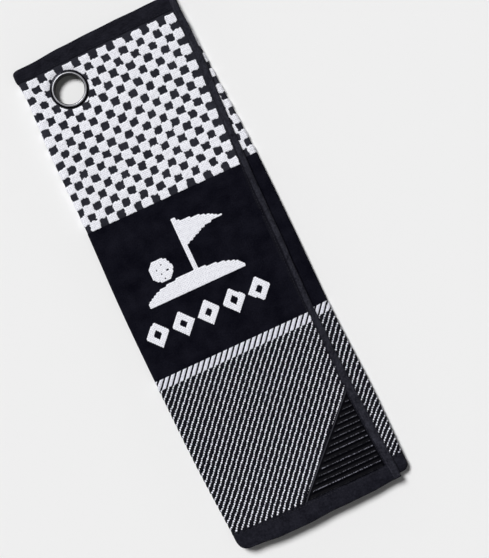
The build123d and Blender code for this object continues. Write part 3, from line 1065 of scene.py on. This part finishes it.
# %% [markdown]
# ## Black nickel
# The plating is nearly black and glossy. Along the top of the lip it is painted paler, a painted
# highlight, so the mesh says how much of it a point gets, and clouded noise breaks that up. Fine
# scratches blur the gloss a little.

# %% Black nickel plate
PLATED, HIGHLIGHT_METAL = (0.008, 0.008, 0.011, 1), (0.40, 0.40, 0.43, 1)
nickel, nickel_shader, start = finish_of("black_nickel_plate", {"Metallic": 1.0, "Coat Weight": 0.15})
place = start.node("ShaderNodeTexCoord", None, None, "Object")
clouds = place.noise(220, 3.0, 0.6)
# Painted highlight: the lip's top is paler and less metallic.
rubbed = attribute(start, "rubbed") * (0.85 + clouds.ramped(0.3, 0.7) * 0.15)
tone = rubbed.blended(PLATED, HIGHLIGHT_METAL)
gloss = 0.16 + rubbed * 0.2 + clouds * 0.06
feed(nickel_shader, tone, gloss, place.noise(1500, 2.0, 0.6), 0.00001, 0.2)
nickel.node_tree.links.new((1 - rubbed * 0.6).socket, nickel_shader.inputs["Metallic"])
for ring in (eyelet_ring, washer_ring):
    ring.data.materials.append(nickel)
print("plated", eyelet_ring.name, washer_ring.name)

# %% [markdown]
# ## Riding on the imported bodies
# Everything left of the crease belongs to the folded body. Of the front panel, only the side hem
# and its stitches ride on the flap; the pieces that cross the crease are baked in place and ride
# on neither body.

# %% Which piece rides on what
joint = next(j for j in frame["joints"] if j["name"] == "front_flap_open")
axis_point, axis = np.array(joint["pos_m"]), np.array(joint["axis"])
towards_flap = np.cross((0, 0, 1), axis)
towards_flap = towards_flap if towards_flap[0] > 0 else -towards_flap


def across_crease(piece):
    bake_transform(piece)


lengths = [(key, piece) for key, (piece, _) in cloth.items()]
trimmings = [*hems.items(), *rows_of_thread.items()]
for (panel, part), piece in lengths + trimmings:
    if panel != "front":
        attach(piece, BODY)
    elif part == "side":
        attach(piece, FLAP)
    else:
        across_crease(piece)
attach(eyelet_ring, BODY)
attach(washer_ring, BODY)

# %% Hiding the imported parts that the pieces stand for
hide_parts("front_panel_held")
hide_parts("front_flap")
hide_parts("left_fold")
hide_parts("back_panel")
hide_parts("inner_panel")
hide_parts("right_fold")
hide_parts("top_hem", "top_hem_flap")
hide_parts("bottom_hem", "bottom_hem_flap")
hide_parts("front_side_hem")
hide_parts("inner_side_hem")
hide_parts("top_hem_thread", "top_flap_thread")
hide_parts("bottom_hem_thread", "bottom_flap_thread")
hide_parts("front_side_thread")
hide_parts("inner_side_thread")
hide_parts("eyelet")
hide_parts("eyelet_washer")

# %% [markdown]
# ## The cloth's pieces
# Each piece is a length of the one flat cloth, and its flat size is known exactly: the range of u
# and v it was made from. The loop below works out, for each piece, the hems and stitches sewn to
# it, the piece it lies on and its flat size in metres, and keeps none of them.

# %% Sheets
sewn_end = {"checks": "top", "stripes": "bottom", "velour": "side"}
lies_on = {"front": "inner", "inner": "back"}
for (panel, band_name), (piece, size) in cloth.items():
    sewn = [trim for key, trim in trimmings if key == (panel, sewn_end[band_name])]
    below = [f"{lies_on[panel]}_{band_name}_cloth"] if panel in lies_on else []
    flat = (size[0] * MM, size[1] * MM)
print("declared", len(cloth), "lengths of cloth")

# %% [markdown]
# ## Floor, light and camera
# The towel lies on a plain pale floor. A broad light from beyond its top left corner gives the
# soft shadow along its bottom and right edges. A dim ceiling and pale low walls, which are only
# the world's background, fill the rest and close the view behind the floor. The camera is
# straight above, with the towel turned on the floor as if laid down at a slant.

# %% Floor
FLOOR_HALF, FLOOR_PALE = 4.0, (0.86, 0.86, 0.86, 1)
floor_mesh = bpy.data.meshes.new("floor")
floor_corners = [(x * FLOOR_HALF, y * FLOOR_HALF, 0) for x, y in ((-1, -1), (1, -1), (1, 1), (-1, 1))]
floor_mesh.from_pydata(floor_corners, [], [(0, 1, 2, 3)])
floor = put_in_scene("floor", floor_mesh)
floor_finish, _, _ = finish_of("pale_floor", {"Base Color": FLOOR_PALE, "Roughness": 0.9})
floor_mesh.materials.append(floor_finish)
print("floor is", 2 * FLOOR_HALF, "m wide")

# %% Light
from mathutils import Matrix, Vector

SKY, WALLS, KEY, FILL = 0.05, 0.87, 3.46, 0.10
WALLS_TO, SKY_FROM = 0.18, 0.3
scene = bpy.context.scene
scene.view_settings.view_transform = "Standard"
world = bpy.data.worlds.new("soft_sky")
scene.world = world
world.use_nodes = True
background = world.node_tree.nodes["Background"]
background.inputs["Color"].default_value = (1, 1, 1, 1)
around = Wire(world.node_tree).node("ShaderNodeTexCoord", None, None, "Generated")
upward = around.node("ShaderNodeSeparateXYZ", None, {0: around}, 2)
strength = WALLS - upward.ramped(WALLS_TO, SKY_FROM) * (WALLS - SKY)
world.node_tree.links.new(strength.socket, background.inputs["Strength"])
for name, energy, spread, towards in (
    ("key_light", KEY, 20, (-0.36, 0.93, 1.32)),
    ("fill_light", FILL, 40, (0.55, -0.75, 1.3)),
):
    light_data = bpy.data.lights.new(name, "SUN")
    light_data.energy, light_data.angle = energy, math.radians(spread)
    light = put_in_scene(name, light_data)
    light.rotation_mode = "QUATERNION"
    light.rotation_quaternion = Vector(towards).to_track_quat("Z", "Y")
print("sky", SKY, "key", KEY, "fill", FILL)

# %% Camera
camera_data = bpy.data.cameras.new("camera")
camera = put_in_scene("camera", camera_data)
AIM = Vector((27.3, -21.2, 9.0)) * MM
UP, RIGHT = Vector((0.443, 0.8965, 0)), Vector((0.8965, -0.443, 0))
VIEW_HEIGHT = 521 * MM
camera_data.lens, camera_data.sensor_width = 80.0, 36.0
distance = VIEW_HEIGHT * camera_data.lens / camera_data.sensor_width
towards = Vector((0, 0, 1))
camera.matrix_world = Matrix.Translation(AIM + towards * distance) @ Matrix(
    (RIGHT, UP, towards)
).transposed().to_4x4()
scene.camera = camera
print("camera is", round(distance, 3), "m above the towel")
